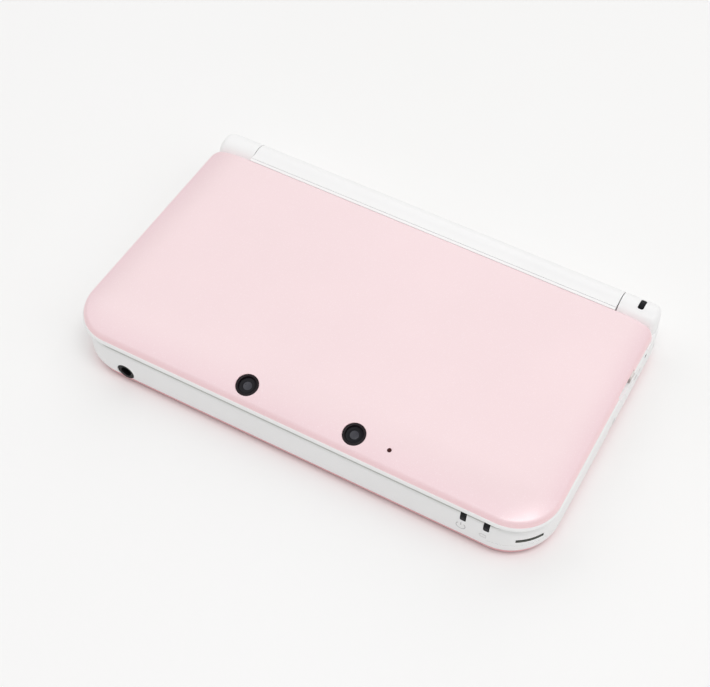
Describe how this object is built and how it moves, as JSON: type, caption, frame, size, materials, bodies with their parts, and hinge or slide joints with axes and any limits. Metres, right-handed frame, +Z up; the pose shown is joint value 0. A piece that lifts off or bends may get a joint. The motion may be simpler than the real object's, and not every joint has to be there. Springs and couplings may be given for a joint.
{
  "type": "clamshell handheld game console",
  "caption": "Two-screen clamshell handheld game console with a hinged lid, buttons, pads, triggers and card slots, shown closed.",
  "frame": {"origin": "middle of the underside, on the resting face", "axes": "+X along the hinge to the console's right, +Y from the front edge to the hinge, +Z up through the lid"},
  "size_m": [0.156, 0.093, 0.0215],
  "materials": {
    "white_shell": "smooth white housing plastic",
    "pink_shell": "pale pink plastic with a soft pearl sheen",
    "white_plastic": "smooth white plastic",
    "key_plastic": "smooth white key plastic",
    "grey_plastic": "matt grey plastic",
    "black_plastic": "matt black plastic",
    "dark_panel": "glossy dark panel",
    "lens_glass": "dark tinted lens window",
    "display_frame": "thin metal display frame",
    "steel": "stamped or turned steel",
    "contact_metal": "gold-coloured contacts",
    "flex_film": "amber flat cable",
    "circuit_board": "green circuit board",
    "battery_case": "dark grey battery case",
    "pad_rubber": "grey grip rubber",
    "mat_rubber": "grey silicone"
  },
  "bodies": {
    "base": {"base_deck": "white_shell", "base_tray": "white_shell", "bottom_cover": "pink_shell", "bottom_cover_screws": "steel", "housing_screws": "steel", "battery_pack": "battery_case", "mainboard": "circuit_board", "lower_lcd": "display_frame", "touch_screen": "dark_panel", "headphone_socket": "black_plastic", "charging_socket": "black_plastic", "charging_contacts": "contact_metal", "ir_window": "dark_panel", "game_card_connector": "steel", "sd_card_socket": "steel", "microphone": "steel", "front_led_windows": "dark_panel", "notification_led_window": "dark_panel", "wireless_led_window": "dark_panel", "strap_bar": "steel", "stylus_sleeve": "grey_plastic", "circle_pad_housing": "black_plastic", "d_pad_mat": "mat_rubber", "button_mat": "mat_rubber", "trigger_pins": "steel", "hinge_shaft": "steel", "hinge_pin": "steel"},
    "lid": {"lid_frame": "white_shell", "lid_cover": "pink_shell", "screen_window": "dark_panel", "upper_lcd": "display_frame", "speakers": "black_plastic", "outer_cameras": "black_plastic", "camera_windows": "lens_glass", "sensor_window": "dark_panel", "inner_camera": "black_plastic", "lid_bumpers": "mat_rubber", "lid_screws": "steel", "hinge_cartridge": "steel", "display_flex": "flex_film"},
    "depth_slider": {"depth_slider": "white_plastic"},
    "circle_pad_carriage": {"circle_pad_carriage": "grey_plastic"},
    "circle_pad": {"circle_pad": "pad_rubber"},
    "d_pad_rocker": {"d_pad_rocker": "grey_plastic"},
    "d_pad": {"d_pad": "key_plastic"},
    "button_a": {"button_a": "key_plastic"},
    "button_b": {"button_b": "key_plastic"},
    "button_x": {"button_x": "key_plastic"},
    "button_y": {"button_y": "key_plastic"},
    "button_select": {"button_select": "key_plastic"},
    "button_home": {"button_home": "key_plastic"},
    "button_start": {"button_start": "key_plastic"},
    "button_power": {"button_power": "key_plastic"},
    "trigger_left": {"trigger_left": "white_shell"},
    "trigger_right": {"trigger_right": "white_shell"},
    "volume_slider": {"volume_slider": "white_plastic"},
    "wireless_switch": {"wireless_switch": "white_plastic"},
    "sd_slot_cover": {"sd_slot_cover": "white_shell"},
    "sd_card": {"sd_card": "black_plastic"},
    "stylus": {"stylus": "white_plastic"}
  },
  "joints": [
    {"name": "lid_hinge", "type": "hinge", "parent": "base", "child": "lid", "pos_m": [0, 0.0411, 0.0161], "axis": [-1, 0, 0], "range_deg": [0, 155]},
    {"name": "circle_pad_across", "type": "slide", "parent": "base", "child": "circle_pad_carriage", "axis": [1, 0, 0], "range_m": [-0.0022, 0.0022], "stiffness_N_per_m": 150},
    {"name": "circle_pad_along", "type": "slide", "parent": "circle_pad_carriage", "child": "circle_pad", "axis": [0, 1, 0], "range_m": [-0.0022, 0.0022], "stiffness_N_per_m": 150},
    {"name": "d_pad_up_down", "type": "hinge", "parent": "base", "child": "d_pad_rocker", "pos_m": [-0.0595, -0.018, 0.0123], "axis": [1, 0, 0], "range_deg": [-2.5, 2.5], "stiffness_Nm_per_rad": 0.1},
    {"name": "d_pad_left_right", "type": "hinge", "parent": "d_pad_rocker", "child": "d_pad", "pos_m": [-0.0595, -0.018, 0.0123], "axis": [0, 1, 0], "range_deg": [-2.5, 2.5], "stiffness_Nm_per_rad": 0.1},
    {"name": "press_a", "type": "slide", "parent": "base", "child": "button_a", "axis": [0, 0, -1], "range_m": [0, 0.0009], "stiffness_N_per_m": 300},
    {"name": "press_b", "type": "slide", "parent": "base", "child": "button_b", "axis": [0, 0, -1], "range_m": [0, 0.0009], "stiffness_N_per_m": 300},
    {"name": "press_x", "type": "slide", "parent": "base", "child": "button_x", "axis": [0, 0, -1], "range_m": [0, 0.0009], "stiffness_N_per_m": 300},
    {"name": "press_y", "type": "slide", "parent": "base", "child": "button_y", "axis": [0, 0, -1], "range_m": [0, 0.0009], "stiffness_N_per_m": 300},
    {"name": "press_select", "type": "slide", "parent": "base", "child": "button_select", "axis": [0, 0, -1], "range_m": [0, 0.0006], "stiffness_N_per_m": 400},
    {"name": "press_home", "type": "slide", "parent": "base", "child": "button_home", "axis": [0, 0, -1], "range_m": [0, 0.0006], "stiffness_N_per_m": 400},
    {"name": "press_start", "type": "slide", "parent": "base", "child": "button_start", "axis": [0, 0, -1], "range_m": [0, 0.0006], "stiffness_N_per_m": 400},
    {"name": "press_power", "type": "slide", "parent": "base", "child": "button_power", "axis": [0, 0, -1], "range_m": [0, 0.0006], "stiffness_N_per_m": 400},
    {"name": "trigger_left_press", "type": "hinge", "parent": "base", "child": "trigger_left", "pos_m": [-0.0518, 0.0436, 0.0069], "axis": [0, 0, 1], "range_deg": [0, 3.2], "stiffness_Nm_per_rad": 0.3},
    {"name": "trigger_right_press", "type": "hinge", "parent": "base", "child": "trigger_right", "pos_m": [0.0518, 0.0436, 0.0069], "axis": [0, 0, -1], "range_deg": [0, 3.2], "stiffness_Nm_per_rad": 0.3},
    {"name": "volume_slide", "type": "slide", "parent": "base", "child": "volume_slider", "axis": [0, 1, 0], "range_m": [-0.004, 0.004]},
    {"name": "wireless_slide", "type": "slide", "parent": "base", "child": "wireless_switch", "axis": [0, 1, 0], "range_m": [0, 0.002], "stiffness_N_per_m": 200},
    {"name": "depth_slide", "type": "slide", "parent": "lid", "child": "depth_slider", "axis": [0, -1, 0], "range_m": [0, 0.007]},
    {"name": "sd_cover_hinge", "type": "hinge", "parent": "base", "child": "sd_slot_cover", "pos_m": [-0.0766, 0.014, 0.0051], "axis": [0, -1, 0], "range_deg": [0, 95]},
    {"name": "sd_card_push", "type": "slide", "parent": "base", "child": "sd_card", "axis": [1, 0, 0], "range_m": [0, 0.0005], "stiffness_N_per_m": 300},
    {"name": "stylus_slide", "type": "slide", "parent": "base", "child": "stylus", "axis": [1, 0, 0], "range_m": [0, 0.09]}
  ]
}
